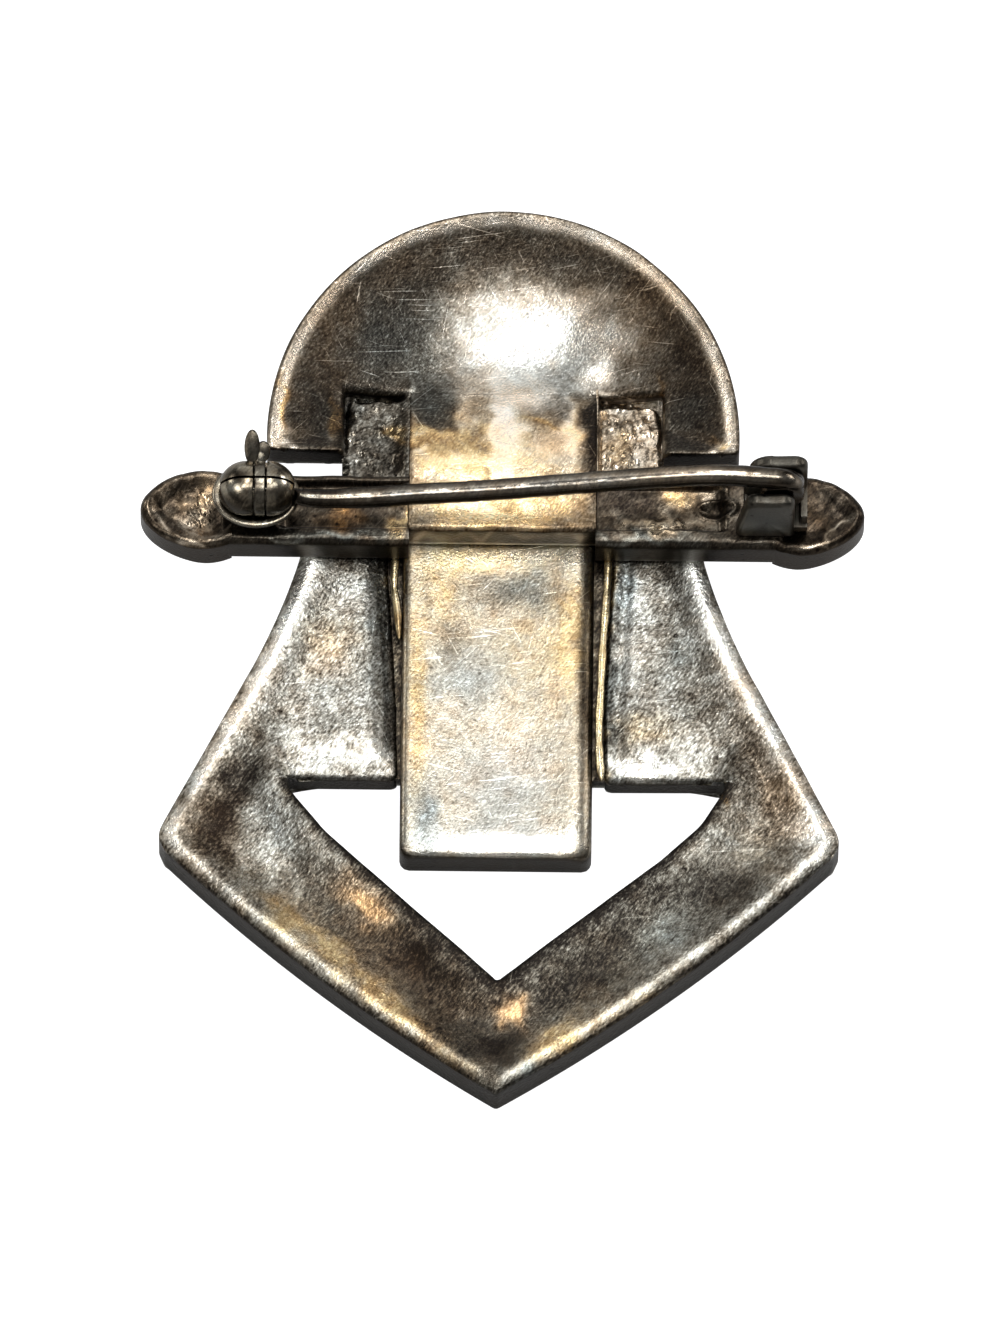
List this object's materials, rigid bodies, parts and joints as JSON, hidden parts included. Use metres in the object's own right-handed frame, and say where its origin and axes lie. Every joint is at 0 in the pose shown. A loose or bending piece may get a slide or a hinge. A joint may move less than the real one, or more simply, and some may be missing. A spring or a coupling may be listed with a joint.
{
  "type": "marcasite brooch",
  "caption": "Art Deco silver brooch lying face down: hollow domed top, crossbar with spearhead ends, flared shield with a triangular cut-out, hinged pin and safety catch.",
  "frame": {"origin": "middle of the brooch's length and width, on the surface that it lies on face down", "axes": "+X along the crossbar towards the hinge, +Y towards the dome, +Z out through the back"},
  "size_m": [0.037, 0.049, 0.0091],
  "materials": {
    "silver": "worn silver with tarnish",
    "pin_wire": "tarnished wire",
    "catch_nickel": "polished nickel silver",
    "marcasite": "faceted and polished"
  },
  "bodies": {
    "brooch": {"silver_body": "silver", "hinge_rivet": "pin_wire", "dome_stones": "marcasite", "bar_stones": "marcasite", "shield_stones": "marcasite", "column_stones": "marcasite"},
    "pin": {"pin_stem": "pin_wire"},
    "lock": {"catch_lock": "catch_nickel"}
  },
  "joints": [
    {"name": "pin_hinge", "type": "hinge", "parent": "brooch", "child": "pin", "pos_m": [0.0143, 0.00748, 0.0071], "axis": [0, 1, 0], "range_deg": [0, 110]},
    {"name": "catch_turn", "type": "hinge", "parent": "brooch", "child": "lock", "pos_m": [-0.01242, 0.00735, 0.00655], "axis": [1, 0, 0], "range_deg": [0, 110]}
  ]
}
